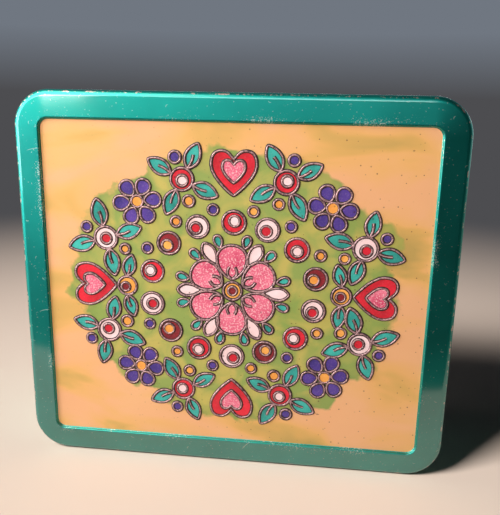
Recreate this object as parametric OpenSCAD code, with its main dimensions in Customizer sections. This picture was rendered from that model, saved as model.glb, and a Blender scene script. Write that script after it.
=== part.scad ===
// Drawn tinplate box with a slip lid. It stands on its lower side, with the lid to the front.
// The front is -Y, +Z is up, and the origin is under the middle of the closed tin.

/* [Lid] */
// Width of the lid over its skirt
lid_w = 150; // [100:1:220]
// Height of the lid over its skirt, as the tin stands
lid_h = 132; // [90:1:200]
// Depth of the lid from the top of the step to its hem
lid_d = 14; // [9:0.5:20]
// Radius of the lid's corners, seen from the front
corner_r = 12.5; // [12:0.5:30]
// Radius of the rounded edge between border and skirt
edge_r = 2.2; // [1.2:0.1:4]
// Width of the border round the sunk panel
border_w = 8.8; // [5:0.1:10]
// Fall of the border from the panel's step to the rounded edge
border_fall = 0.9; // [0.2:0.1:1.4]
// Depth of the sunk panel below the top of its step
panel_d = 1; // [0.8:0.1:1.6]
// Height of the hem that is folded up inside the skirt
hem_h = 4; // [2:0.5:6]
// Gap left inside the fold of the hem
hem_gap = 0.2; // [0.1:0.05:0.4]

/* [Body wall] */
// Depth of the closed tin, from the top of the lid's step to the edge of the base seam
tin_d = 50; // [30:1:90]
// Radius of the rim that is curled in at the mouth
rim_r = 0.8; // [0.6:0.1:1.2]
// Width of the lock seam, where the ends of the wall hook together
lock_w = 4; // [3:0.5:6]
// Width of the groove that shows along the lock seam
groove_w = 0.5; // [0.3:0.1:0.8]
// Depth of that groove
groove_d = 0.12; // [0.06:0.02:0.16]
// Distance that the lock seam's folds stop short of the base and of the rim
lock_end = 1.5; // [1:0.5:4]

/* [Base] */
// Depth of the base panel above the edge of the base seam
sink_d = 2.8; // [2.4:0.1:5]
// Height of the base seam
seam_h = 3.4; // [2.8:0.1:4.5]
// Radius of the bend round the base panel
base_bend_r = 0.6; // [0.4:0.1:1]
// Width of the strip round the raised middle of the base
base_strip = 7; // [4:0.5:8]
// Height of the raised middle of the base
base_rise = 0.8; // [0.8:0.1:1.4]

/* [Sheet and fits] */
// Thickness of the tinplate
sheet = 0.3; // [0.22:0.01:0.36]
// Clearance between the lid's hem and the wall
slip_gap = 0.4; // [0.3:0.05:0.6]
// Clearance between the rim and the inside of the lid
seat_gap = 0.4; // [0.3:0.05:0.6]
// Gap between the layers of the base seam
seam_gap = 0.1; // [0.06:0.01:0.15]

/* [Hidden] */
$fn = 64;

lacquer = [0.12, 0.58, 0.55];
tinplate = [0.72, 0.73, 0.74];

// Every section below is drawn with x outwards from the corner centres and y forwards,
// with y = 0 on the top of the lid's step. The corner centres are shared by all three pieces.
centre_x = lid_w / 2 - corner_r;
centre_y = lid_h / 2 - corner_r;

// Outer face of the wall: inside the skirt, its hem and the slip clearance
wall_r = corner_r - 2 * sheet - hem_gap - slip_gap;

// Panel of the lid: the step is an S of two equal bends
panel_edge = corner_r - border_w - panel_d;

// Rim: it is lowered where the rounded edge of the lid would touch it, to a whole thousandth
rim_x = wall_r - rim_r;
rim_reach = edge_r - sheet - seat_gap - rim_r;
rim_out = max(0, rim_x - corner_r + edge_r);
rim_rise = rim_out > 0 ? sqrt(rim_reach * rim_reach - rim_out * rim_out) : rim_reach;
rim_y = floor(1000 * (rim_rise - edge_r - border_fall)) / 1000;

// Base seam: five layers of sheet, with the wall second from the inside
seam_pitch = sheet + seam_gap;
hook_r = seam_gap + sheet / 2;
seam_x = wall_r + hook_r;
seam_low = 2 * seam_pitch + sheet / 2 - tin_d;
seam_top = seam_h - hook_r - sheet - tin_d;
seam_r = wall_r + 3 * seam_pitch;
chuck_r = wall_r - sheet - seam_gap;
base_y = sink_d - tin_d;

// Lock seam: two more layers inside the wall
lock_low = base_y + base_rise + sheet + lock_end;
lock_len = rim_y - rim_r - lock_end - lock_low;
lock_in = sheet + 2 * seam_pitch - groove_d;

// Height of the tin's middle above the surface that it stands on
stand_h = centre_y + max(corner_r, seam_r);

// Stand a piece up from its sections, with its lid to the front
module stand() {
    translate([0, 0, stand_h]) rotate([90, 0, 0]) translate([0, 0, tin_d / 2]) children();
}

// Carry a section once round the tin: four straight runs and four corners
module around() {
    for (side = [0 : 3]) {
        out = side % 2 == 0 ? centre_x : centre_y;
        along = side % 2 == 0 ? centre_y : centre_x;
        rotate([0, 0, 90 * side]) translate([out, along, 0]) {
            rotate([90, 0, 0]) linear_extrude(2 * along) children();
            rotate_extrude(angle = 90) children();
        }
    }
}

// Flat sheet that closes the middle of a piece, with its front at the height y
module middle_sheet(y) {
    translate([-centre_x, -centre_y, y - sheet]) cube([2 * centre_x, 2 * centre_y, sheet]);
}

// Section of a straight stretch of sheet between two corners
module strip(low, high) {
    translate(low) square(high - low);
}

// Section of a quarter bend about a centre, by its inner radius and its quarter
module bend(centre, inner_r, quarter) {
    outer_r = inner_r + sheet;
    translate(centre) rotate(90 * quarter) intersection() {
        difference() {
            circle(outer_r);
            circle(inner_r);
        }
        square(outer_r);
    }
}

// Section of a step down towards the middle, which starts at x on a front face at the height y
module step_down(x, y, depth) {
    half = depth / 2;
    bend([x, y - half], half - sheet, 1);
    bend([x - depth, y - half], half, 3);
}

// Section of a step up towards the middle, which starts at x on a front face at the height y
module step_up(x, y, height) {
    half = height / 2;
    bend([x, y + half], half, 2);
    bend([x - height, y + half], half - sheet, 0);
}

module lid_section() {
    hem_r = hem_gap / 2;
    fold_x = corner_r - sheet - hem_r;
    fold_y = hem_r + sheet - lid_d;
    step_x = corner_r - border_w;
    edge_x = corner_r - edge_r;
    edge_y = -border_fall - edge_r;
    strip([0, -panel_d - sheet], [panel_edge, -panel_d]);
    step_down(step_x, 0, panel_d);
    polygon([[step_x, -sheet], [step_x, 0], [edge_x, -border_fall], [edge_x, -border_fall - sheet]]);
    bend([edge_x, edge_y], edge_r - sheet, 0);
    strip([corner_r - sheet, fold_y], [corner_r, edge_y]);
    bend([fold_x, fold_y], hem_r, 3);
    bend([fold_x, fold_y], hem_r, 2);
    strip([fold_x - hem_r - sheet, fold_y], [fold_x - hem_r, hem_h - lid_d]);
}

module wall_section() {
    for (quarter = [0 : 2]) bend([rim_x, rim_y], rim_r - sheet, quarter);
    strip([wall_r - sheet, seam_low], [wall_r, rim_y]);
    bend([seam_x, seam_low], hook_r, 2);
    bend([seam_x, seam_low], hook_r, 3);
    strip([seam_x + hook_r, seam_low], [seam_x + hook_r + sheet, seam_top]);
}

module base_section() {
    strip_in = wall_r - base_strip;
    bend_x = chuck_r - sheet - base_bend_r;
    fold_r = hook_r + seam_pitch;
    hook_x = seam_x + seam_pitch;
    strip([0, base_y + base_rise], [strip_in - base_rise, base_y + base_rise + sheet]);
    step_up(strip_in, base_y + sheet, base_rise);
    strip([strip_in, base_y], [bend_x, base_y + sheet]);
    bend([bend_x, base_y - base_bend_r], base_bend_r, 0);
    strip([chuck_r - sheet, seam_low], [chuck_r, base_y - base_bend_r]);
    bend([seam_x, seam_low], fold_r, 2);
    bend([seam_x, seam_low], fold_r, 3);
    strip([seam_r - sheet, seam_low], [seam_r, seam_top]);
    bend([hook_x, seam_top], hook_r, 0);
    bend([hook_x, seam_top], hook_r, 1);
    strip([wall_r + seam_gap, seam_low], [wall_r + seam_pitch, seam_top]);
}

// Drawn lid: sunk panel, border, rounded edge, skirt and folded hem
module lid() {
    color(lacquer) stand() {
        around() lid_section();
        middle_sheet(-panel_d);
    }
}

// Wrapped wall: curled rim, lock seam on the left side and the hook of the base seam
module body_wall() {
    lock_x = centre_x + wall_r;
    color(lacquer) stand() difference() {
        union() {
            around() wall_section();
            translate([groove_d - lock_x, -lock_w / 2, lock_low]) cube([lock_in, lock_w, lock_len]);
        }
        translate([-lock_x, lock_w / 2 - groove_w, lock_low]) cube([groove_d, groove_w, lock_len]);
    }
}

// Base: panel with a raised middle, sunk inside the wall and hooked round its lower edge
module base() {
    color(tinplate) stand() {
        around() base_section();
        middle_sheet(base_y + base_rise + sheet);
    }
}

lid();
body_wall();
base();
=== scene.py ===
"""Looks of a drawn tinplate box that stands on its lower side, with its painted slip lid to the front."""

import logging
import math
import random
from collections.abc import Callable, Iterable
from dataclasses import dataclass, field
from enum import Enum
from functools import partial
from typing import Any

import bmesh
import bpy
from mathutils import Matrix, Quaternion, Vector


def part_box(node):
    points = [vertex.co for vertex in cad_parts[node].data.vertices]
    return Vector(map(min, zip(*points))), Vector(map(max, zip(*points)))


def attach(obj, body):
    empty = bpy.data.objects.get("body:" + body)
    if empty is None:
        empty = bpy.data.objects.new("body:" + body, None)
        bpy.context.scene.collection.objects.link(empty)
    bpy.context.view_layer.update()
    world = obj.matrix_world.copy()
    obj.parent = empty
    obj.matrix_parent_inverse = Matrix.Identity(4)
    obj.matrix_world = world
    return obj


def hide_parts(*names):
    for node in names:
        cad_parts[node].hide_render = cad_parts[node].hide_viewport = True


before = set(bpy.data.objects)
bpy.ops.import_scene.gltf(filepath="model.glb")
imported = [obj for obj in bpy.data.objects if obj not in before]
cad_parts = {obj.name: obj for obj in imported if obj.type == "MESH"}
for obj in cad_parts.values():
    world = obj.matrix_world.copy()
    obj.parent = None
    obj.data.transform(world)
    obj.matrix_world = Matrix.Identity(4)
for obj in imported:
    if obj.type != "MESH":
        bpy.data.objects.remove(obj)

LOG = logging.getLogger("tin_box")
MM = 0.001
PER_MM = 1000.0
QUARTER = math.pi / 2

# Part of a normal along an axis from which a face is square to it, and from which it is closest to it
SQUARE = 0.99
CLOSEST = 0.71

# Handles of a round outline, as a share of its radius
ROUND = 0.55

Pair = tuple[float, float]
Place = tuple[float, float, float]
AddNode = Callable[..., Any]
Material = bpy.types.Material
Piece = bpy.types.Object


def colour(code: str) -> tuple[float, float, float, float]:
    """Turn an sRGB hex colour into linear light.

    Args:
        code: Six hex digits, red first.

    Returns:
        Red, green, blue and an alpha of one.
    """
    parts = [int(code[i : i + 2], 16) / 255 for i in (0, 2, 4)]
    linear = [c / 12.92 if c <= 0.04045 else ((c + 0.055) / 1.055) ** 2.4 for c in parts]
    return (*linear, 1.0)


def add_node(tree: bpy.types.NodeTree, kind: str, *values: Any, **named: Any) -> Any:
    """Add a shader node, set it up and link what feeds it.

    Args:
        tree: Node tree of the material or world.
        kind: Blender's name of the node type, after "ShaderNode".
        values: What its first sockets take: values, colour codes, outputs, or nodes by their first output.
        named: Settings by Blender's names, and what other sockets take by theirs, with underscores for
            spaces. Only names of sockets have capital letters.

    Returns:
        The new node.
    """
    made = tree.nodes.new(f"ShaderNode{kind}")
    for name, value in named.items():
        if name.islower():
            setattr(made, name, value)
    taken = list(zip((socket for socket in made.inputs if socket.enabled), values))
    taken += [(made.inputs[name.replace("_", " ")], named[name]) for name in named if not name.islower()]
    for socket, value in taken:
        if isinstance(value, bpy.types.Node):
            value = next(output for output in value.outputs if output.enabled)
        if isinstance(value, bpy.types.NodeSocket):
            tree.links.new(value, socket)
        else:
            socket.default_value = colour(value) if isinstance(value, str) else value
    return made


def new_material(name: str) -> tuple[Material, AddNode]:
    """Make an empty node material.

    Args:
        name: Name of the finish.

    Returns:
        The material and the function that adds a node to it.
    """
    material = bpy.data.materials.new(name)
    material.use_nodes = True
    material.node_tree.nodes.clear()
    return material, partial(add_node, material.node_tree)


def place_mm(add: AddNode) -> Any:
    """Add the node that gives the place on a piece in millimetres."""
    return add("VectorMath", add("TexCoord").outputs["Object"], PER_MM, operation="SCALE")


def clear_selection() -> None:
    """Leave edit mode and select nothing."""
    if bpy.context.mode != "OBJECT":
        bpy.ops.object.mode_set(mode="OBJECT")
    bpy.ops.object.select_all(action="DESELECT")


def pick(piece: Piece) -> None:
    """Select one piece alone and make it active.

    Args:
        piece: The piece.
    """
    clear_selection()
    piece.select_set(True)
    bpy.context.view_layer.objects.active = piece


class Part(Enum):
    """Parts of a mesh that are picked in edit mode, by Blender's names."""

    EDGES = "EDGE"
    FACES = "FACE"


def pick_parts(piece: Piece, part: Part, wanted: Callable[[Any], bool]) -> None:
    """Select, in edit mode, the edges or faces that a test accepts.

    Args:
        piece: The piece in edit mode.
        part: Whether edges or faces are picked.
        wanted: Test of one of them.
    """
    bpy.ops.mesh.select_mode(type=part.value)
    bpy.ops.mesh.select_all(action="DESELECT")
    mesh = bmesh.from_edit_mesh(piece.data)
    for item in mesh.edges if part is Part.EDGES else mesh.faces:
        item.select_set(wanted(item))
    bmesh.update_edit_mesh(piece.data)


class Finish(Enum):
    """Order of the material slots on a sheet: two outer faces, then the faces that its thickness adds."""

    OUTSIDE = 0
    PANEL = 1
    INSIDE = 2


@dataclass(frozen=True)
class Tooling:
    """Sizes of the drawn sheet in metres, as the part's source has them, and the bends it is drawn in."""

    sheet: float = 0.3 * MM
    corner_r: float = 12.5 * MM
    edge_r: float = 2.2 * MM
    border_w: float = 8.8 * MM
    border_fall: float = 0.9 * MM
    panel_d: float = 1.0 * MM
    hem_h: float = 4.0 * MM
    hem_gap: float = 0.2 * MM
    slip_gap: float = 0.4 * MM
    rim_r: float = 0.8 * MM
    seam_gap: float = 0.1 * MM
    sink_d: float = 2.8 * MM
    base_bend_r: float = 0.6 * MM
    base_strip: float = 7.0 * MM
    base_rise: float = 0.8 * MM
    lock_w: float = 4.0 * MM
    groove_w: float = 0.5 * MM
    groove_d: float = 0.12 * MM

    # Steps round a corner and a bend, strip that keeps a flat true beside a bend, depth within which a face
    # lies on a cap, and sharpest angle that is smoothed
    corner_steps: int = 16
    bend_steps: int = 8
    guard: float = 0.25 * MM
    touch: float = 0.01 * MM
    smooth_deg: float = 40.0

    @property
    def slope(self) -> float:
        """Slope of the lid's border in radians."""
        return math.atan2(self.border_fall, self.border_w - self.edge_r)

    @property
    def wall_in(self) -> float:
        """Distance from the face of the skirt to the face of the wall."""
        return 2 * self.sheet + self.hem_gap + self.slip_gap

    @property
    def seam_pitch(self) -> float:
        """Distance from one layer of the base seam to the next."""
        return self.sheet + self.seam_gap

    @property
    def hook_r(self) -> float:
        """Inner radius of the hooks in the base seam."""
        return self.seam_gap + self.sheet / 2

    def bend(self, radius: float, start: float, end: float) -> list[Pair]:
        """Work out a bend round a centre behind it: a wall at 0, a flat at a quarter turn, a wall beyond.

        Args:
            radius: Radius of the bend's outer face.
            start: Turn at which it starts, in radians.
            end: Turn at which it ends.

        Returns:
            Its steps, as pairs of the way inwards and the way forwards.
        """
        turns = [start + (end - start) * i / self.bend_steps for i in range(self.bend_steps + 1)]
        return [
            (radius * (math.cos(a) - math.cos(b)), radius * (math.sin(b) - math.sin(a)))
            for a, b in zip(turns, turns[1:])
        ]

    def bend_in(self, radius: float) -> list[Pair]:
        """Work out a quarter bend from a wall that runs back onto a flat inside it."""
        return [(inward, -forward) for inward, forward in self.bend(radius, 0, QUARTER)]

    def fold(self, radius: float) -> list[Pair]:
        """Work out a half turn from a wall over into a wall inside it."""
        return self.bend(radius, 0, QUARTER) + self.bend(radius, QUARTER, 2 * QUARTER)

    def sink(self, radius: float, start: float = QUARTER) -> list[Pair]:
        """Work out an S of two equal bends, from a flat down onto a flat inside it."""
        return self.bend(radius, start, 2 * QUARTER) + self.bend_in(radius)


TOOLING = Tooling()


@dataclass
class DrawnSheet:
    """A block with rounded corners whose two caps are drawn into a sheet."""

    name: str
    low: Vector
    high: Vector
    corner_r: float
    piece: Piece = field(init=False)

    def start(self, front: float, back: float) -> None:
        """Add the block and round its four long edges.

        Args:
            front: Where its front cap lies along Y.
            back: Where its back cap lies along Y.
        """
        clear_selection()
        middle = (self.low + self.high) / 2
        size = self.high - self.low
        half = (back - front) / 2
        bpy.ops.mesh.primitive_cube_add(
            size=1, location=(middle.x, (front + back) / 2, middle.z), scale=(size.x, back - front, size.z)
        )
        self.piece = bpy.context.active_object
        self.piece.name = self.name
        bpy.ops.object.transform_apply(location=True, rotation=True, scale=True)
        bpy.ops.object.mode_set(mode="EDIT")
        pick_parts(
            self.piece, Part.EDGES, lambda edge: abs((edge.verts[0].co - edge.verts[1].co).y) > half
        )
        bpy.ops.mesh.bevel(offset=self.corner_r, segments=TOOLING.corner_steps, profile=0.5, affect="EDGES")

    def pick_cap(self, facing: int) -> None:
        """Select one of the two caps.

        Args:
            facing: -1 for the front cap, 1 for the back cap.
        """
        points = bmesh.from_edit_mesh(self.piece.data).verts
        end = max(point.co.y * facing for point in points) - TOOLING.touch
        pick_parts(
            self.piece,
            Part.FACES,
            lambda face: face.normal.y * facing > SQUARE and face.calc_center_median().y * facing > end,
        )

    def draw(self, steps: Iterable[Pair]) -> None:
        """Draw the selected cap step by step.

        Args:
            steps: Pairs of the way inwards and the way along the cap's normal.
        """
        for inward, along in steps:
            bpy.ops.mesh.inset(thickness=inward, depth=along, use_boundary=True, use_even_offset=True)

    def run(self, along: float) -> None:
        """Carry the selected cap straight along Y."""
        bpy.ops.mesh.extrude_region_move(TRANSFORM_OT_translate={"value": (0, along, 0)})

    def open_cap(self) -> None:
        """Cut out the selected cap."""
        bpy.ops.mesh.delete(type="ONLY_FACE")

    def inset(self, point: Vector) -> float:
        """Tell how far a point lies inside the outline, as it is seen from the front.

        Args:
            point: The point.

        Returns:
            Its distance from the outline.
        """
        away = point - (self.low + self.high) / 2
        side = abs(away.x) - (self.high.x - self.low.x) / 2 + self.corner_r
        rise = abs(away.z) - (self.high.z - self.low.z) / 2 + self.corner_r
        return self.corner_r - math.hypot(max(side, 0), max(rise, 0)) - min(max(side, rise), 0)

    def mark_inset(self) -> None:
        """Store on each point how far it lies inside the outline, in millimetres, as inset_mm."""
        marks = self.piece.data.attributes.new("inset_mm", "FLOAT", "POINT")
        for point, mark in zip(self.piece.data.vertices, marks.data):
            mark.value = self.inset(point.co) * PER_MM

    def thicken(self, finishes: list[Material]) -> None:
        """Give the skin the sheet's thickness, inwards, and smooth it.

        Args:
            finishes: Materials in the order of Finish, with the inside's last.
        """
        pick(self.piece)
        for material in (*finishes, finishes[-1]):
            self.piece.data.materials.append(material)
        self.mark_inset()
        bpy.ops.object.modifier_add(type="SOLIDIFY")
        wall = self.piece.modifiers[-1]
        wall.thickness = TOOLING.sheet
        wall.offset = -1
        wall.use_even_offset = True
        wall.material_offset = Finish.INSIDE.value
        wall.material_offset_rim = Finish.INSIDE.value
        bpy.ops.object.modifier_apply(modifier=wall.name)
        bpy.ops.object.shade_smooth_by_angle(angle=math.radians(TOOLING.smooth_deg))
        bpy.ops.object.modifier_add(type="WEIGHTED_NORMAL")
        self.piece.modifiers[-1].keep_sharp = True
        bpy.ops.object.modifier_apply(modifier=self.piece.modifiers[-1].name)


@dataclass(frozen=True)
class Scratches:
    """Short bowed scratches, at most one in each cell of a scatter, each at its own angle. Sizes in mm."""

    pitch: float
    half_length: float
    half_width: float
    share: float
    bow: float = 0.3

    # Shares of the half length and the half width from which a scratch fades out
    full_length: float = 0.6
    full_width: float = 0.5

    def mask(self, add: AddNode, at: Any) -> Any:
        """Scatter the scratches over a surface.

        Args:
            add: Function that adds a node to the material.
            at: Node that gives the place in millimetres.

        Returns:
            Node that gives 0 off the scratches and up to 1 on them, more on some than on others.
        """
        cell = add("TexVoronoi", at, Scale=1 / self.pitch)
        dice = add("SeparateColor", cell.outputs["Color"])
        away = add("VectorMath", at, cell.outputs["Position"], operation="SUBTRACT")
        angle = add("Math", dice.outputs[0], math.pi, operation="MULTIPLY")
        turned = add("VectorRotate", away, Angle=angle, rotation_type="Y_AXIS")
        parts = add("SeparateXYZ", turned)
        along = add("Math", parts.outputs[0], operation="ABSOLUTE")
        square = add("Math", parts.outputs[0], 2.0, operation="POWER")
        bend = self.bow / self.half_length**2
        curved = add("Math", square, bend, parts.outputs[2], operation="MULTIPLY_ADD")
        across = add("Math", curved, operation="ABSOLUTE")
        ends = add("MapRange", along, self.half_length, self.full_length * self.half_length)
        width = add("MapRange", across, self.half_width, self.full_width * self.half_width)
        some = add("MapRange", dice.outputs[1], From_Min=self.share, From_Max=0.0)
        line = add("Math", ends, width, operation="MULTIPLY")
        return add("Math", line, some, operation="MULTIPLY")


@dataclass(frozen=True)
class GreenLacquer:
    """Translucent green lacquer, roller coated and stoved on tinplate, under a clear gloss varnish.

    The metal shines through it, so it is bright where it mirrors light and nearly black where it doesn't.
    """

    deep: str = "12867E"
    light: str = "1EAEA3"
    scuff: str = "CFE3DA"
    bare: str = "E0CFC4"

    # Sizes of its patterns, and distance inside the outline from which a bend is the step's
    film_mm: float = 20.0
    grit_mm: float = 0.45
    rub_mm: float = 16.0
    chip_mm: float = 2.6
    peel_mm: float = 1.1
    wave_mm: float = 30.0
    step_mm: float = 5.0
    scratches: tuple[Scratches, ...] = (
        Scratches(pitch=2.2, half_length=0.16, half_width=0.14, share=0.45),
        Scratches(pitch=6.0, half_length=0.6, half_width=0.12, share=0.45),
        Scratches(pitch=23.0, half_length=2.9, half_width=0.12, share=0.5),
    )

    def material(self) -> Material:
        """Build the lacquer's node material.

        Returns:
            The material.
        """
        material, add = new_material("green_lacquer_on_tinplate")
        at = place_mm(add)
        axes = add("SeparateXYZ", at)
        normal = add("SeparateXYZ", add("TexCoord").outputs["Normal"])
        inset = add("Attribute", attribute_name="inset_mm").outputs["Fac"]

        # Film is thicker and deeper in tone here and there
        film = add("TexNoise", at, Scale=1 / self.film_mm, Detail=3.0)
        tone = add("Mix", film, self.deep, self.light, data_type="RGBA")

        # Scratches lie in the plane of their side: where it faces X or Z, that axis changes places with Y
        flat = at
        for facing, order in ((0, (1, 0, 2)), (2, (0, 2, 1))):
            size = add("Math", normal.outputs[facing], operation="ABSOLUTE")
            faces = add("Math", size, CLOSEST, operation="GREATER_THAN")
            swung = add("CombineXYZ", *(axes.outputs[axis] for axis in order))
            flat = add("Mix", faces, flat, swung, data_type="VECTOR")
        marks = 0.0
        for scratches in self.scratches:
            marks = add("Math", marks, scratches.mask(add, flat), operation="MAXIMUM")

        # Scuffs in patches along the inner edge of the border
        close = add("MapRange", inset, From_Min=5.6, From_Max=8.4, To_Max=0.2)
        grit = add("TexNoise", at, Scale=1 / self.grit_mm, Detail=3.0, Roughness=0.7)
        zone = add("TexNoise", at, Scale=1 / self.rub_mm, Detail=2.0)
        where = add("MapRange", zone, From_Min=0.45, From_Max=0.65)
        rubbed = add("Math", close, where, grit, operation="MULTIPLY_ADD")
        scuff = add("MapRange", rubbed, From_Min=0.72, From_Max=0.78)

        # Scratches and scuffs are pale, and let some of the green through
        marked = add("Math", marks, scuff, operation="MAXIMUM")
        faint = add("Math", marked, 0.8, operation="MULTIPLY")
        scuffed = add("Mix", faint, tone, self.scuff, data_type="RGBA")

        # A bend is where the normal turns away from Y: 0 on flats and walls, 0.25 halfway round
        square = add("Math", normal.outputs[1], normal.outputs[1], operation="MULTIPLY")
        rest = add("Math", 1.0, square, operation="SUBTRACT")
        turned = add("Math", square, rest, operation="MULTIPLY")

        # Lacquer is chipped off the bends in small patches, and less so on the step
        patch = add("TexNoise", at, Scale=1 / self.chip_mm, Detail=5.0, Roughness=0.7)
        struck = add("Math", turned, patch, operation="MULTIPLY")
        step = add("Math", inset, self.step_mm, operation="GREATER_THAN")
        chipped = add("Math", step, -0.02, struck, operation="MULTIPLY_ADD")
        through = add("MapRange", chipped, From_Min=0.131, From_Max=0.141)
        worn = add("Mix", through, scuffed, self.bare, data_type="RGBA")

        # Gloss is a little uneven, and duller along scratches
        gloss = add("MapRange", film, To_Min=0.39, To_Max=0.47)
        dulled = add("Math", marked, 0.3, gloss, operation="MULTIPLY_ADD")

        # Varnish is rubbed thin on the step's bends, and on the outer bends but for those near the table
        rise = add("MapRange", axes.outputs[2], From_Min=30.0, From_Max=55.0)
        handled = add("Math", rise, step, operation="MAXIMUM")
        curve = add("MapRange", turned, From_Min=0.021, From_Max=0.06, To_Max=0.88)
        thin = add("Math", curve, handled, operation="MULTIPLY")
        varnish = add("Math", 1.0, thin, operation="SUBTRACT")

        # Orange peel, on a sheet whose slow waves are 60 times as deep
        peel = add("TexNoise", at, Scale=1 / self.peel_mm, Detail=2.0)
        wave = add("TexNoise", at, Scale=1 / self.wave_mm, Detail=1.0)
        swell = add("Math", wave, 60.0, peel, operation="MULTIPLY_ADD")
        bump = add("Bump", Strength=0.25, Distance=0.004 * MM, Height=swell)
        shader = add(
            "BsdfPrincipled",
            Base_Color=worn,
            Metallic=0.95,
            Roughness=dulled,
            Normal=bump,
            Coat_Weight=varnish,
            Coat_Roughness=0.1,
            Coat_IOR=2.4,
        )
        add("OutputMaterial", shader)
        return material


@dataclass(frozen=True)
class BareTinplate:
    """Rolled sheet with a flow-brightened coat of tin: grey, soft mirror, fine rolling lines along X."""

    dark: str = "A3A6A8"
    bright: str = "D9DBDC"
    line_mm: Place = (60.0, 4.0, 0.5)
    cloud_mm: float = 14.0

    def material(self) -> Material:
        """Build the tinplate's node material.

        Returns:
            The material.
        """
        material, add = new_material("bare_tinplate")
        at = place_mm(add)
        rolled = add("Mapping", at, Scale=tuple(1 / size for size in self.line_mm))
        lines = add("TexNoise", rolled, Scale=1.0, Detail=4.0)
        cloud = add("TexNoise", at, Scale=1 / self.cloud_mm, Detail=3.0)
        both = add("Mix", 0.4, lines, cloud, data_type="FLOAT")
        tone = add("Mix", both, self.dark, self.bright, data_type="RGBA")
        gloss = add("MapRange", both, To_Min=0.46, To_Max=0.32)
        bump = add("Bump", Strength=0.2, Distance=0.004 * MM, Height=lines)
        shader = add("BsdfPrincipled", Base_Color=tone, Metallic=1.0, Roughness=gloss, Normal=bump)
        add("OutputMaterial", shader)
        return material


@dataclass(frozen=True)
class PaintedGround:
    """Peach ground coat on the sunk panel, with yellow mottling, an oval of green wash and clear varnish."""

    centre_z: float
    ring_x: float
    ring_z: float
    peach: str = "E0A275"
    pale: str = "E6B27E"
    yellow: str = "DDAA58"
    olive: str = "A8934E"
    leaf: str = "7F9E4B"
    moss: str = "5F833D"
    straw: str = "B5AD55"
    speck: str = "5E3A22"
    blotch_mm: float = 25.0
    smear_mm: Pair = (42.0, 20.0)
    smear_turn: float = -0.6
    rag_mm: float = 12.0
    pool_mm: float = 11.0
    speck_mm: float = 2.6
    ripple_mm: float = 1.5

    def material(self) -> Material:
        """Build the ground's node material.

        Returns:
            The material.
        """
        material, add = new_material("painted_ground")
        down = -self.centre_z * PER_MM
        at = add("Mapping", place_mm(add), Location=(0, down, 0), Rotation=(-QUARTER, 0, 0))

        # Ground coat with soft blotches, and slanting smears of yellow and olive
        blotch = add("TexNoise", at, Scale=1 / self.blotch_mm, Detail=2.0)
        warm = add("Mix", blotch, self.peach, self.pale, data_type="RGBA")
        smear_scale = (1 / self.smear_mm[0], 1 / self.smear_mm[1], 0)
        slant = add("Mapping", at, Rotation=(0, 0, self.smear_turn), Scale=smear_scale)
        stain = add("TexNoise", slant, Scale=1.0, Detail=3.0, Distortion=0.5)
        amber = add("MapRange", stain, From_Min=0.42, From_Max=0.6, To_Max=0.85)
        tinted = add("Mix", amber, warm, self.yellow, data_type="RGBA")
        smear = add("MapRange", stain, From_Min=0.55, From_Max=0.7, To_Max=0.75)
        ground = add("Mix", smear, tinted, self.olive, data_type="RGBA")

        # Wash fills the oval: its distance from the middle, in shares of the wreath's half axes, is ragged
        shares = (1 / (self.ring_x * PER_MM), 1 / (self.ring_z * PER_MM), 0)
        share = add("VectorMath", at, shares, operation="MULTIPLY")
        reach = add("VectorMath", share, operation="LENGTH")
        ragged = add("TexNoise", at, Scale=1 / self.rag_mm, Detail=4.0, Roughness=0.5)
        wobble = add("MapRange", ragged, To_Min=-0.26, To_Max=0.26)
        far = add("Math", reach, wobble, operation="ADD")
        wet = add("MapRange", far, From_Min=1.19, From_Max=1.15, To_Max=0.92)

        # Wash is straw where it is thin, green where it pooled and darkest at its rim
        pool = add("TexNoise", at, Scale=1 / self.pool_mm, Detail=3.0, Distortion=0.8)
        pooled = add("MapRange", pool, From_Min=0.34, From_Max=0.58)
        green = add("Mix", pooled, self.straw, self.leaf, data_type="RGBA")
        rim = add("MapRange", far, From_Min=1.02, From_Max=1.18, To_Max=0.45)
        wash = add("Mix", rim, green, self.moss, data_type="RGBA")
        washed = add("Mix", wet, ground, wash, data_type="RGBA")

        # Specks of dark pigment, 0.3 to 0.7 mm across, which thin out towards the left
        cell = add("TexVoronoi", at, Scale=1 / self.speck_mm, voronoi_dimensions="2D")
        dice = add("SeparateColor", cell.outputs["Color"])
        size = add("MapRange", dice.outputs[0], To_Min=0.06, To_Max=0.14)
        dot = add("MapRange", cell, From_Min=size, From_Max=0.04)
        some = add("MapRange", dice.outputs[1], From_Min=0.66, From_Max=0.98)
        dense = add("MapRange", add("SeparateXYZ", at), From_Min=-50.0, From_Max=30.0, To_Min=0.15)
        strength = add("Math", some, dense, operation="MULTIPLY")
        speck = add("Math", dot, strength, operation="MULTIPLY")
        specked = add("Mix", speck, washed, self.speck, data_type="RGBA")

        # Brushed varnish with faint ripples
        ripple = add("TexNoise", at, Scale=1 / self.ripple_mm, Detail=3.0)
        gloss = add("MapRange", ripple, To_Min=0.38, To_Max=0.5)
        bump = add("Bump", Strength=0.3, Distance=0.02 * MM, Height=ripple)
        shader = add(
            "BsdfPrincipled",
            Base_Color=specked,
            Roughness=gloss,
            Normal=bump,
            Coat_Weight=0.6,
            Coat_Roughness=0.4,
        )
        add("OutputMaterial", shader)
        return material


class Paint(Enum):
    """Paints of the ornament: dark tone, light tone and share of pale speckle."""

    TEAL = ("16827A", "38B8AE", 0.05)
    RED = ("B01024", "E21C36", 0.04)
    WINE = ("6E1520", "96222E", 0.05)
    PINK = ("CC3F68", "EA7894", 0.75)
    VIOLET = ("36297A", "5A3F9E", 0.06)
    CREAM = ("E8C3C4", "F3DCE2", 0.10)
    ORANGE = ("E08A2C", "F2B057", 0.08)


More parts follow.
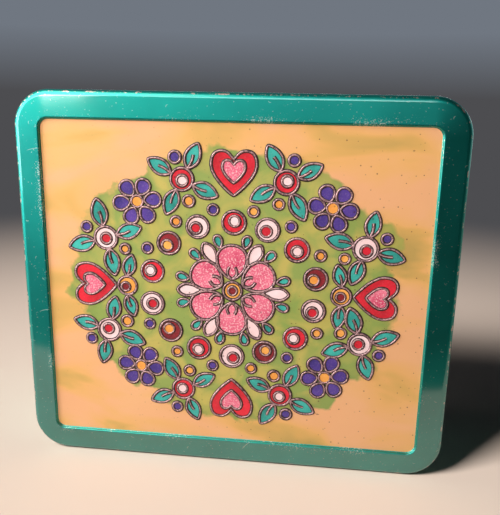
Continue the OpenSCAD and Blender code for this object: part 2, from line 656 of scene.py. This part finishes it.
@dataclass(frozen=True)
class GlassPaint:
    """Solvent glass paint, floated into a cell: level, half gloss, grainy, darker where it lies thick."""

    paint: Paint
    fleck: str = "F4D3D6"
    grit: str = "3A1A18"
    film_mm: float = 7.0
    grain_mm: float = 0.55
    grit_mm: float = 1.9

    def material(self) -> Material:
        """Build the paint's node material.

        Returns:
            The material.
        """
        dark, light, speckle = self.paint.value
        material, add = new_material(f"glass_paint_{self.paint.name.lower()}")
        at = place_mm(add)
        film = add("TexNoise", at, Scale=1 / self.film_mm, Detail=4.0)
        thick = add("MapRange", film, From_Min=0.3, From_Max=0.7)
        tone = add("Mix", thick, dark, light, data_type="RGBA")

        # Pale grains
        grain = add("TexNoise", at, Scale=1 / self.grain_mm, Detail=2.0)
        pale = add("MapRange", grain, From_Min=0.5, From_Max=0.68, To_Max=speckle)
        flecked = add("Mix", pale, tone, self.fleck, data_type="RGBA")

        # Dark grit about 0.4 mm across, in some cells of a scatter
        cell = add("TexVoronoi", at, Scale=1 / self.grit_mm)
        dot = add("MapRange", cell, From_Min=0.2, From_Max=0.1)
        dice = add("SeparateColor", cell.outputs["Color"])
        some = add("MapRange", dice.outputs[2], From_Min=0.7, From_Max=1.0, To_Max=0.7)
        grit = add("Math", dot, some, operation="MULTIPLY")
        gritty = add("Mix", grit, flecked, self.grit, data_type="RGBA")
        bump = add("Bump", Strength=0.35, Distance=0.03 * MM, Height=grain)
        shader = add("BsdfPrincipled", Base_Color=gritty, Roughness=0.42, Normal=bump, Coat_Weight=0.25)
        add("OutputMaterial", shader)
        return material


@dataclass(frozen=True)
class ReliefPaste:
    """Outline paste squeezed from a tube: a rounded bead, patchy in tone, with a fine grain."""

    name: str
    dark: str
    light: str
    metal: float
    rough: float
    patch_mm: float = 0.9
    grain_mm: float = 0.4

    def material(self) -> Material:
        """Build the paste's node material.

        Returns:
            The material.
        """
        material, add = new_material(self.name)
        at = place_mm(add)
        patch = add("TexNoise", at, Scale=1 / self.patch_mm, Detail=5.0, Roughness=0.7)
        share = add("MapRange", patch, From_Min=0.36, From_Max=0.58)
        tone = add("Mix", share, self.dark, self.light, data_type="RGBA")
        grain = add("TexNoise", at, Scale=1 / self.grain_mm, Detail=2.0)
        bump = add("Bump", Strength=0.5, Distance=0.05 * MM, Height=grain)
        shader = add(
            "BsdfPrincipled", Base_Color=tone, Metallic=self.metal, Roughness=self.rough, Normal=bump
        )
        add("OutputMaterial", shader)
        return material


@dataclass
class Lid(DrawnSheet):
    """Drawn lid: sunk panel, border, rounded edge, skirt and folded hem."""

    # Share of the step's width from which it has the panel's ground
    ground_from: float = 0.85

    @property
    def panel_y(self) -> float:
        """Where the face of the sunk panel lies along Y."""
        return self.low.y + TOOLING.panel_d

    def build(self) -> None:
        """Draw the front and the hem from a block of the skirt's size."""
        t = TOOLING
        fold_r = t.hem_gap / 2 + t.sheet
        step_r = t.panel_d / 2
        sine, cosine, climb = math.sin(t.slope), math.cos(t.slope), math.tan(t.slope)
        flat = t.border_w - t.edge_r * (1 - sine) - step_r * sine
        front = self.low.y + t.edge_r * cosine + flat * climb + step_r * (1 - cosine)
        self.start(front, self.high.y - fold_r)
        self.pick_cap(-1)
        self.draw(t.bend(t.edge_r, 0, QUARTER - t.slope))
        self.draw((part, part * climb) for part in (t.guard, flat - 2 * t.guard, t.guard))
        self.draw(t.sink(step_r, QUARTER - t.slope))
        self.draw([(t.guard, 0)])
        self.pick_cap(1)
        self.draw(t.fold(fold_r))
        self.run(fold_r - t.hem_h)
        self.open_cap()

    def dress(self, lacquer: Material, ground: Material, tin: Material) -> None:
        """Give the panel its ground, which starts low on the step, and the rest its lacquer.

        Args:
            lacquer: Finish of the border and the skirt.
            ground: Finish of the sunk panel.
            tin: Finish of the inside.
        """
        clear_selection()
        foot = TOOLING.border_w + self.ground_from * TOOLING.panel_d
        for face in self.piece.data.polygons:
            if face.normal.y < 0 and self.inset(face.center) > foot:
                face.material_index = Finish.PANEL.value
        self.thicken([lacquer, ground, tin])


@dataclass
class BodyWall(DrawnSheet):
    """Wrapped wall with a curled rim and a lock seam on its left side."""

    def build(self, rim_y: float) -> None:
        """Draw the rim and the lock seam from a block of the wall's size.

        Args:
            rim_y: Where the front of the rim lies along Y.
        """
        t = TOOLING
        self.start(rim_y + t.rim_r, self.high.y)
        self.pick_cap(-1)
        self.draw(t.fold(t.rim_r))
        self.run(t.rim_r)
        self.open_cap()
        self.pick_cap(1)
        self.open_cap()
        self.fold_lock_seam()

    def fold_lock_seam(self) -> None:
        """Press the groove of the lock seam into the left side."""
        t = TOOLING
        half = t.groove_w / 2
        top = (self.low.z + self.high.z) / 2 + t.lock_w / 2
        for height in (top, top - t.groove_w):
            pick_parts(self.piece, Part.FACES, lambda face: face.normal.x < -SQUARE)
            bpy.ops.mesh.bisect(plane_co=(self.low.x, 0, height), plane_no=(0, 0, 1))
        pick_parts(
            self.piece,
            Part.FACES,
            lambda face: face.normal.x < -SQUARE and abs(face.calc_center_median().z - top + half) < half,
        )
        self.draw([(t.groove_d, -t.groove_d)])


@dataclass
class Base(DrawnSheet):
    """Pressed base: raised middle, countersink and the double seam round the wall's lower edge."""

    def build(self) -> None:
        """Draw both sides of the seam and the panel from a block of the seam's size."""
        t = TOOLING
        fold_r = t.hook_r + t.seam_pitch + t.sheet
        hook_r = t.hook_r + t.sheet
        strip = t.base_strip - t.wall_in - t.base_bend_r - 2 * t.guard
        self.start(self.low.y + hook_r, self.high.y - fold_r)
        self.pick_cap(1)
        self.draw(t.fold(fold_r))
        self.run(fold_r + t.base_bend_r - t.sink_d)
        self.draw(t.bend_in(t.base_bend_r))
        self.draw([(t.guard, 0), (strip, 0), (t.guard, 0)])
        self.draw(t.sink(t.base_rise / 2))
        self.draw([(t.guard, 0)])
        self.pick_cap(-1)
        self.draw(t.fold(hook_r))
        self.run(hook_r)
        self.open_cap()


@dataclass(frozen=True)
class Spot:
    """A place on the panel, in mm from its middle, and a turn from upright, anticlockwise in radians."""

    x: float = 0.0
    z: float = 0.0
    turn: float = 0.0

    def onward(self, reach: float, spin: float = 0.0) -> "Spot":
        """Turn by a spin, then go on that way by a reach."""
        turn = self.turn + spin
        return Spot(self.x - reach * math.sin(turn), self.z + reach * math.cos(turn), turn)


@dataclass(frozen=True)
class Knot:
    """A point of an outline, in millimetres, with its two handles as offsets."""

    x: float
    z: float
    before: Pair
    after: Pair


@dataclass(frozen=True)
class Outline:
    """A drawn line through knots."""

    knots: tuple[Knot, ...]
    closed: bool = True

    def placed(self, spot: Spot) -> "Outline":
        """Copy the outline to a spot on the panel.

        Args:
            spot: Where its origin goes, and how it is turned.

        Returns:
            The copy.
        """
        c, s = math.cos(spot.turn), math.sin(spot.turn)

        def spun(a: float, b: float) -> Pair:
            """Turn one offset."""
            return (a * c - b * s, a * s + b * c)

        knots = []
        for knot in self.knots:
            x, z = spun(knot.x, knot.z)
            knots.append(Knot(spot.x + x, spot.z + z, spun(*knot.before), spun(*knot.after)))
        return Outline(tuple(knots), self.closed)


def lobe(
    length: float, width: float, belly: float = 0.5, base: float = ROUND, tip: float = ROUND
) -> Outline:
    """Draw a petal, leaf or dot from its base at the origin up to its tip.

    Args:
        length: From base to tip.
        width: Across its widest place.
        belly: Share of the length at which it is widest.
        base: Roundness of the base, from pointed at 0 to round at ROUND.
        tip: Roundness of the tip, likewise.

    Returns:
        The closed outline.
    """
    half = width / 2
    low, high = belly * length, (1 - belly) * length
    return Outline(
        (
            Knot(0, 0, (-base * half, 0), (base * half, 0)),
            Knot(half, low, (0, -ROUND * low), (0, ROUND * high)),
            Knot(0, length, (tip * half, 0), (-tip * half, 0)),
            Knot(-half, low, (0, ROUND * high), (0, -ROUND * low)),
        )
    )


def disc(radius: float, spot: Spot = Spot()) -> Outline:
    """Draw a round dot about a spot, upright."""
    return lobe(2 * radius, 2 * radius).placed(Spot(0, -radius)).placed(Spot(spot.x, spot.z))


def heart(size: float) -> Outline:
    """Draw a heart from its tip at the origin upwards.

    Args:
        size: Its width, which is about its height.

    Returns:
        The closed outline.
    """
    s = size
    return Outline(
        (
            Knot(0, 0, (-0.06 * s, 0.02 * s), (0.06 * s, 0.02 * s)),
            Knot(0.5 * s, 0.66 * s, (0, -0.26 * s), (0, 0.24 * s)),
            Knot(0.26 * s, 0.97 * s, (0.14 * s, 0), (-0.14 * s, 0)),
            Knot(0, 0.78 * s, (0.05 * s, 0.06 * s), (-0.05 * s, 0.06 * s)),
            Knot(-0.26 * s, 0.97 * s, (0.14 * s, 0), (-0.14 * s, 0)),
            Knot(-0.5 * s, 0.66 * s, (0, 0.24 * s), (0, -0.26 * s)),
        )
    )


def arc_line(length: float, bow: float) -> Outline:
    """Draw an open stroke from the origin upwards that bows to one side."""
    third = length / 3
    return Outline((Knot(0, 0, (0, 0), (bow, third)), Knot(0, length, (bow, -third), (0, 0))), closed=False)


@dataclass
class Ornament:
    """Folk ornament of the panel: a rosette in a ring of berries, inside an oval wreath. Sizes in mm."""

    panel_y: float
    centre_z: float
    ring_x: float
    ring_z: float

    # Bead of paste, dark line under it that is partly ink and partly painted shade of the raised bead, and
    # film of paint, whose lift on ground and cell is in films
    bead_w: float = 0.62
    bead_h: float = 0.6
    ink_and_shade_w: float = 1.2
    ink_and_shade_h: float = 0.24
    film: float = 0.1
    film_lift: Pair = (0.4, 1.0)
    film_apart: float = 0.003

    # Motifs
    bud: Outline = field(default_factory=lambda: lobe(4.4, 2.8, belly=0.62, base=0.15))
    berry_r: float = 3.9
    side_berry_r: float = 3.3
    leaf_l: float = 9.0
    side_leaf_l: float = 7.6
    heart_w: float = 15.0
    berry_ring_x: float = 29.0
    berry_ring_z: float = 24.0
    side_x: float = 37.0

    # Hand that draws them: its chance, and the share by which a line wavers
    chance: random.Random = field(default_factory=lambda: random.Random(20))
    waver: float = 0.16

    # Mesh: steps of a curve and a bead, distance of points that are merged, sharpest angle that is smoothed
    curve_steps: int = 7
    bead_steps: int = 2
    weld: float = 0.002
    smooth_deg: float = 50.0

    # What is drawn so far
    cells: dict[tuple[Paint, int], list[Outline]] = field(default_factory=dict)
    strokes: list[Outline] = field(default_factory=list)

    def cell(self, paint: Paint, outline: Outline, layer: int = 0) -> None:
        """Add a painted cell with its drawn edge.

        Args:
            paint: Paint of the cell.
            outline: Edge of the cell.
            layer: 0 on the ground, 1 on another cell.
        """
        self.cells.setdefault((paint, layer), []).append(outline)
        self.strokes.append(outline)

    def near(self, spread: float) -> float:
        """Draw a small slip of the hand."""
        return self.chance.uniform(-spread, spread)

    def slipped(self, spot: Spot, spread: float) -> Spot:
        """Find a place close to a spot, where the hand slips to."""
        return Spot(spot.x + self.near(spread), spot.z + self.near(spread))

    def leaf(self, spot: Spot, length: float) -> None:
        """Draw a teal leaf with its midrib.

        Args:
            spot: Where its base is, and which way it points.
            length: Length of the leaf.
        """
        base = spot.onward(0, self.near(0.1))
        length *= 1 + self.near(0.06)
        self.cell(Paint.TEAL, lobe(length, 0.56 * length, belly=0.45, base=0.15, tip=0.15).placed(base))
        self.strokes.append(arc_line(0.55 * length, 0.05 * length).placed(base))

    def berry(self, spot: Spot, radius: float, skin: Paint, middle: Paint) -> None:
        """Draw a round berry with a dot on it that sits a little off its middle.

        Args:
            spot: Where its middle is.
            radius: Radius of the berry.
            skin: Paint of the berry.
            middle: Paint of the dot.
        """
        self.cell(skin, disc(radius + self.near(0.15), spot))
        self.cell(middle, disc(0.46 * radius, self.slipped(spot, 0.2 * radius)), 1)

    def rosette(self) -> None:
        """Draw the middle: six round petals with slim petals between them, and a bud in each gap."""
        count, petal_reach, slim_reach, bud_reach = 6, 4.2, 10.6, 15.6
        vein_l, vein_bow, vein_spread = 4.4, 7.0, 0.22
        pitch = math.tau / count
        for i in range(count):
            middle = Spot(turn=math.tau * i / count + self.near(0.03))
            base = middle.onward(petal_reach)
            petal = lobe(11.8 + self.near(0.3), 10.4, belly=0.6, base=0.3, tip=0.6)
            self.cell(Paint.PINK, petal.placed(base))
            for spread in (-vein_spread, vein_spread):
                self.strokes.append(arc_line(vein_l, vein_bow * spread).placed(base.onward(0, -spread)))
            between = middle.onward(0, pitch / 2)
            slim = lobe(8.4 + self.near(0.3), 4.4, belly=0.62, base=0.1, tip=0.3)
            self.cell(Paint.CREAM, slim.placed(between.onward(slim_reach)))
            for spread in (-pitch / 4, pitch / 4):
                self.cell(Paint.TEAL, self.bud.placed(between.onward(bud_reach, spread)))
        self.cell(Paint.ORANGE, disc(3.2))
        self.cell(Paint.WINE, disc(1.5), 1)

    def berry_ring(self) -> None:
        """Draw berries of three kinds round the rosette, with a dot outside all gaps but two."""
        kinds = ((Paint.RED, Paint.CREAM), (Paint.CREAM, Paint.RED), (Paint.WINE, Paint.ORANGE))
        dots = (Paint.VIOLET, Paint.ORANGE)
        count, dot_r, dot_reach = 28, 1.7, 4.6
        at_sides = (count // 4, 3 * count // 4)
        for i, spot in enumerate(self.even_spots(count, self.berry_ring_x, self.berry_ring_z)):
            if i % 2 == 0:
                self.berry(self.slipped(spot, 0.3), self.berry_r, *kinds[i // 2 % 3])
            elif i not in at_sides:
                self.cell(dots[i // 2 % 2], disc(dot_r, spot.onward(dot_reach + self.near(0.3))))

    def flower(self, spot: Spot) -> None:
        """Draw a violet flower of six round petals.

        Args:
            spot: Where its middle is, and which way its first petal points.
        """
        count, petal_reach, middle_r = 6, 2.5, 2.0
        for i in range(count):
            petal = lobe(5.6 + self.near(0.2), 4.9, belly=0.58, base=0.3, tip=0.6)
            self.cell(Paint.VIOLET, petal.placed(spot.onward(petal_reach, math.tau * i / count)))
        self.cell(Paint.ORANGE, disc(middle_r, spot), 1)

    def love_heart(self, spot: Spot) -> None:
        """Draw a red heart with a pink one on it.

        Args:
            spot: Where its middle is, and which way its top points.
        """
        size = self.heart_w + self.near(0.4)
        self.cell(Paint.RED, heart(size).placed(spot.onward(-0.5 * size)))
        self.cell(Paint.PINK, heart(0.5 * size).placed(spot.onward(-0.22 * size)), 1)

    def spray(self, spot: Spot, skin: Paint, middle: Paint) -> None:
        """Draw a berry with four leaves and two small dots about it.

        Args:
            spot: Where the berry is, and which way is outwards there.
            skin: Paint of the berry.
            middle: Paint of its dot.
        """
        spread, leaf_reach, dot_r, dot_reach = 0.8, 4.2, 1.8, 7.6
        for spin in (spread, -spread, math.pi - spread, math.pi + spread):
            self.leaf(spot.onward(leaf_reach, spin), self.leaf_l)
        self.berry(spot, self.berry_r, skin, middle)
        for spin, paint in ((0, Paint.VIOLET), (math.pi, Paint.ORANGE)):
            self.cell(paint, disc(dot_r + self.near(0.15), spot.onward(dot_reach, spin)))

    def sides(self) -> None:
        """Fill the room left and right of the ring with a berry between two leaves."""
        leaf_z, lean = 3.6, 0.2
        for side in (-1, 1):
            x = self.side_x * side
            self.leaf(Spot(x, leaf_z, lean * side), self.side_leaf_l)
            self.leaf(Spot(x, -leaf_z, math.pi - lean * side), self.side_leaf_l)
            self.berry(Spot(x), self.side_berry_r, Paint.ORANGE, Paint.WINE)

    def wreath(self) -> None:
        """Draw hearts and flowers by turns round an oval, with a spray between each two."""
        for i, spot in enumerate(self.even_spots(16, self.ring_x, self.ring_z)):
            if i % 4 == 0:
                self.love_heart(spot)
            elif i % 4 == 2:
                self.flower(spot)
            elif i % 8 in (1, 7):
                self.spray(spot, Paint.RED, Paint.CREAM)
            else:
                self.spray(spot, Paint.CREAM, Paint.RED)

    def even_spots(self, count: int, half_x: float, half_z: float) -> list[Spot]:
        """Space spots evenly along an oval, from its top anticlockwise.

        Args:
            count: Number of spots.
            half_x: Half its width.
            half_z: Half its height.

        Returns:
            The spots, each turned outwards.
        """
        fine = 720
        turns = [math.tau * i / fine for i in range(fine + 1)]
        points = [(-half_x * math.sin(turn), half_z * math.cos(turn)) for turn in turns]
        runs = [math.dist(a, b) for a, b in zip(points, points[1:])]
        pitch = sum(runs) / count
        spots, gone = [], 0.0
        for (x, z), run in zip(points, runs):
            if len(spots) < count and gone >= len(spots) * pitch - run / 2:
                spots.append(Spot(x, z, math.atan2(-x / half_x**2, z / half_z**2)))
            gone += run
        return spots

    def trace(self, name: str, outlines: list[Outline]) -> bpy.types.Curve:
        """Trace outlines as one curve whose line wavers in width.

        Args:
            name: Name of the curve.
            outlines: What to trace.

        Returns:
            The curve, in millimetres.
        """
        data = bpy.data.curves.new(name, "CURVE")
        data.resolution_u = self.curve_steps
        for outline in outlines:
            spline = data.splines.new("BEZIER")
            spline.use_cyclic_u = outline.closed
            spline.bezier_points.add(len(outline.knots) - 1)
            for point, knot in zip(spline.bezier_points, outline.knots):
                point.handle_left_type = point.handle_right_type = "FREE"
                point.co = (knot.x, knot.z, 0)
                point.handle_left = (knot.x + knot.before[0], knot.z + knot.before[1], 0)
                point.handle_right = (knot.x + knot.after[0], knot.z + knot.after[1], 0)
                point.radius = 1 + self.near(self.waver)
        return data

    def lay(self, name: str, outlines: list[Outline], width: float, height: float, lift: float) -> Piece:
        """Lay outlines on the panel as filled films or as beads.

        Args:
            name: Name of the piece.
            outlines: What to lay.
            width: Width of the bead, or 0 for a filled film.
            height: Thickness of the film or height of the whole bead.
            lift: How far the middle of the film or bead lies off the panel.

        Returns:
            The piece as a mesh.
        """
        clear_selection()
        data = self.trace(name, outlines)
        if width:
            data.dimensions = "3D"
            data.bevel_depth = width / 2
            data.bevel_resolution = self.bead_steps
            data.use_fill_caps = True
        else:
            data.dimensions = "2D"
            data.fill_mode = "BOTH"
            data.extrude = height / 2
        piece = bpy.data.objects.new(name, data)
        bpy.context.scene.collection.objects.link(piece)
        pick(piece)
        bpy.ops.object.convert(target="MESH")
        flat = height / width if width else 1.0
        piece.scale = (MM, MM, MM * flat)
        piece.rotation_euler = (QUARTER, 0, 0)
        piece.location = (0, self.panel_y - lift * MM, self.centre_z)
        bpy.ops.object.transform_apply(location=True, rotation=True, scale=True)
        bpy.ops.object.mode_set(mode="EDIT")
        bpy.ops.mesh.select_all(action="SELECT")
        bpy.ops.mesh.remove_doubles(threshold=self.weld * MM)
        bpy.ops.mesh.normals_make_consistent(inside=False)
        bpy.ops.object.mode_set(mode="OBJECT")
        bpy.ops.object.shade_smooth_by_angle(angle=math.radians(self.smooth_deg))
        return piece

    def build(self) -> list[Piece]:
        """Draw the ornament, then lay every paint, the dark line under the paste, which is partly ink and
        partly painted shade of the bead, and the paste.

        Returns:
            The pieces of the ornament.
        """
        self.rosette()
        self.berry_ring()
        self.sides()
        self.wreath()
        pieces = []

        # A film is sunk a little into the panel, one on another cell lies on it, and no two share a plane
        for i, ((paint, layer), outlines) in enumerate(self.cells.items()):
            suffix = "_top" if layer else ""
            lift = self.film * self.film_lift[layer] + self.film_apart * i
            piece = self.lay(f"{paint.name.lower()}_paint{suffix}", outlines, 0, self.film, lift)
            piece.data.materials.append(GlassPaint(paint).material())
            pieces.append(piece)
        # The dark line under the bead is partly ink and partly painted shade along the raised bead's edges
        ink = self.lay("ink_and_shade_line", self.strokes, self.ink_and_shade_w, self.ink_and_shade_h, self.film)
        dark = ReliefPaste("dark_ink_and_shade_line", "160D0D", "38221F", metal=0.0, rough=0.55)
        ink.data.materials.append(dark.material())
        bead = self.lay("relief_line", self.strokes, self.bead_w, self.bead_h, self.film)
        rosy = ReliefPaste("rosy_bronze_paste", "43303A", "CBA3A6", metal=0.4, rough=0.4)
        bead.data.materials.append(rosy.material())
        return [*pieces, ink, bead]


class Lit(Enum):
    """What a lamp lights: the tin or the table."""

    TIN = "EXCLUDE"
    TABLE = "INCLUDE"


@dataclass(frozen=True)
class Lamp:
    """A soft lamp that faces the middle of the tin."""

    name: str
    place: Place
    width: float
    height: float
    power: float
    tint: str = "FFFFFF"
    lit: Lit = Lit.TIN
    middle: Place = (0.0, 0.0, 0.066)

    def hang(self, floor: Piece) -> None:
        """Hang the lamp in its place.

        Args:
            floor: The table, which the lamp lights alone or leaves dark.
        """
        clear_selection()
        bpy.ops.object.light_add(type="AREA", location=self.place)
        lamp = bpy.context.active_object
        lamp.name = self.name
        lamp.data.shape = "RECTANGLE"
        lamp.data.size, lamp.data.size_y = self.width, self.height
        lamp.data.energy = self.power
        lamp.data.color = colour(self.tint)[:3]
        lamp.visible_camera = False
        way = Vector(self.middle) - Vector(self.place)
        lamp.rotation_euler = way.to_track_quat("-Z", "Y").to_euler()
        linked = bpy.data.collections.new(f"linked_to_{self.name}")
        linked.objects.link(floor)
        linked.collection_objects[0].light_linking.link_state = self.lit.value
        lamp.light_linking.receiver_collection = linked


@dataclass(frozen=True)
class Studio:
    """Floor, lamps, world and camera, in metres."""

    floor: str = "E6D8CC"
    mirrored_shade: str = "BBB1A6"
    beyond: str = "141414"
    room: str = "15171A"
    wall_low: str = "4D4D50"
    wall: str = "707781"
    floor_w: float = 8.0

    # Line along the front, past which mirrors see the floor painted dark as painted reflection shade, and
    # reach over which the camera sees it fade out as painted falloff of light
    mirror_way: Place = (-0.046, 1.0, 0.0)
    mirror_end: float = -0.095
    fade: Pair = (0.08, 0.54)
    lamps: tuple[Lamp, ...] = (
        Lamp("key", (-0.19, -0.165, 0.305), 0.26, 0.26, 1.22, "FFF6EA"),
        Lamp("side", (-0.53, -0.245, 0.17), 0.32, 0.30, 2.1),
        Lamp("front", (-0.03, -0.66, 0.49), 0.44, 0.20, 1.3),
        Lamp("fill", (-0.60, -0.20, 0.20), 0.30, 0.36, 1.3),
        Lamp("glint", (-0.325, -0.537, 0.303), 0.055, 0.055, 0.1),
        Lamp("rear", (0.05, 0.80, 0.12), 0.90, 0.20, 1.3),
        Lamp("right", (0.66, 0.36, 0.18), 0.70, 0.34, 0.45),
        Lamp("table", (-1.37, -1.15, 1.61), 0.80, 0.80, 84.0, "FFF5EE", Lit.TABLE),
    )
    eye: Place = (0.02903, -0.2284, 0.13126)
    aim: Place = (0.00584, -0.0241, 0.07815)
    roll_deg: float = 1.06
    lens: float = 44.02
    nearest: float = 0.01

    def lay_floor(self) -> Piece:
        """Lay a pale floor, of which mirrors show only the part close to the tin, in a darker painted
        reflection tone, and which the camera sees painted darker with distance.

        Returns:
            The floor.
        """
        clear_selection()
        bpy.ops.mesh.primitive_plane_add(size=self.floor_w, location=(0, 0, 0))
        floor = bpy.context.active_object
        floor.name = "floor"
        material, add = new_material("pale_table")
        place = add("TexCoord").outputs["Object"]
        path = add("LightPath")

        # Painted reflection shade: mirrors show the floor darker, and darkest beyond the front line
        front = add("VectorMath", place, self.mirror_way, operation="DOT_PRODUCT")
        beyond = add("Math", front, self.mirror_end, operation="LESS_THAN")
        dark = add("Mix", beyond, self.mirrored_shade, self.beyond, data_type="RGBA")
        tone = add("Mix", path.outputs["Is Glossy Ray"], self.floor, dark, data_type="RGBA")
        table = add("BsdfPrincipled", Base_Color=tone, Roughness=1.0, Specular_IOR_Level=0.0)

        # Painted falloff of light: the camera sees the floor darken with distance from the tin into the
        # backdrop's dark foot
        wall = add("Emission", self.wall_low)
        reach = add("VectorMath", place, operation="LENGTH")
        start, end = self.fade
        far = add("MapRange", reach, From_Min=start, From_Max=end, interpolation_type="SMOOTHSTEP")
        fade = add("Math", path.outputs["Is Camera Ray"], far, operation="MULTIPLY")
        add("OutputMaterial", add("MixShader", fade, table, wall))
        floor.data.materials.append(material)
        return floor

    def light(self, floor: Piece) -> None:
        """Hang the lamps and set the world.

        Args:
            floor: The floor.
        """
        for lamp in self.lamps:
            lamp.hang(floor)
        world = bpy.data.worlds.new("studio")
        bpy.context.scene.world = world
        world.use_nodes = True
        world.node_tree.nodes.clear()
        add = partial(add_node, world.node_tree)

        # Backdrop shows to the camera, and to mirrors behind the tin. The rest of the room is dark
        path = add("LightPath")
        way = add("SeparateXYZ", add("TexCoord").outputs["Generated"])
        # Painted shade: the backdrop is darker towards the horizon, where the far edge of the table lies in
        # shadow
        height = add("MapRange", way.outputs[2], From_Min=0.0, From_Max=0.09)
        wall = add("Mix", height, self.wall_low, self.wall, data_type="RGBA")
        behind = add("MapRange", way.outputs[1], From_Min=0.2, From_Max=0.7)
        shown = add("Math", path.outputs["Is Glossy Ray"], behind, operation="MULTIPLY")
        seen = add("Math", path.outputs["Is Camera Ray"], shown, operation="MAXIMUM")
        tone = add("Mix", seen, self.room, wall, data_type="RGBA")
        add("OutputWorld", add("Background", tone, Strength=1.0))

    def set_camera(self) -> None:
        """Stand the camera where the tin is seen as photographed."""
        clear_selection()
        bpy.ops.object.camera_add(location=self.eye)
        camera = bpy.context.active_object
        camera.data.lens = self.lens
        camera.data.clip_start = self.nearest
        look = (Vector(self.aim) - Vector(self.eye)).to_track_quat("-Z", "Y")
        roll = Quaternion((0, 0, 1), math.radians(self.roll_deg))
        camera.rotation_mode = "QUATERNION"
        camera.rotation_quaternion = look @ roll
        bpy.context.scene.camera = camera
        bpy.context.scene.view_settings.view_transform = "Standard"


def report(piece: Piece, body: str, slot: str, *nodes: str) -> None:
    """Hang a finished piece on its body and log it.

    Args:
        piece: The finished piece.
        body: The body that it moves with.
        slot: Name of the record's material slot; not used.
        nodes: Nodes of the frame that it stands for.
    """
    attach(piece, body)
    if nodes:
        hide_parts(*nodes)
    LOG.info("%s on %s: %d faces", piece.name, body, len(piece.data.polygons))


def main() -> None:
    """Build the tin, its ornament and the studio."""
    logging.basicConfig(level=logging.INFO, format="%(name)s: %(message)s")
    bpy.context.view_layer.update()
    studio = Studio()
    studio.set_camera()
    studio.light(studio.lay_floor())

    low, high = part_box("lid")
    centre_z = (low.z + high.z) / 2
    ring_x, ring_z = 48.5 * MM, 40.5 * MM
    lacquer = GreenLacquer().material()
    tin = BareTinplate().material()
    ground = PaintedGround(centre_z, ring_x, ring_z).material()

    lid = Lid("lid_sheet", low, high, TOOLING.corner_r)
    lid.build()
    lid.dress(lacquer, ground, tin)
    report(lid.piece, "lid", "printed_lid", "lid")

    wall_low, wall_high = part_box("body_wall")
    inset = Vector((TOOLING.wall_in, 0, TOOLING.wall_in))
    wall = BodyWall("wall_sheet", low + inset, high - inset, TOOLING.corner_r - TOOLING.wall_in)
    wall.high.y = wall_high.y
    wall.build(wall_low.y)
    wall.thicken([lacquer, lacquer, tin])
    report(wall.piece, "tin", "green_lacquer", "body_wall")

    base = Base("base_sheet", *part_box("base"), TOOLING.corner_r)
    base.build()
    base.thicken([tin, tin, tin])
    report(base.piece, "tin", "tinplate", "base")

    ornament = Ornament(lid.panel_y, centre_z, ring_x * PER_MM, ring_z * PER_MM)
    for piece in ornament.build():
        report(piece, "lid", "printed_lid")


if __name__ == "__main__":
    main()
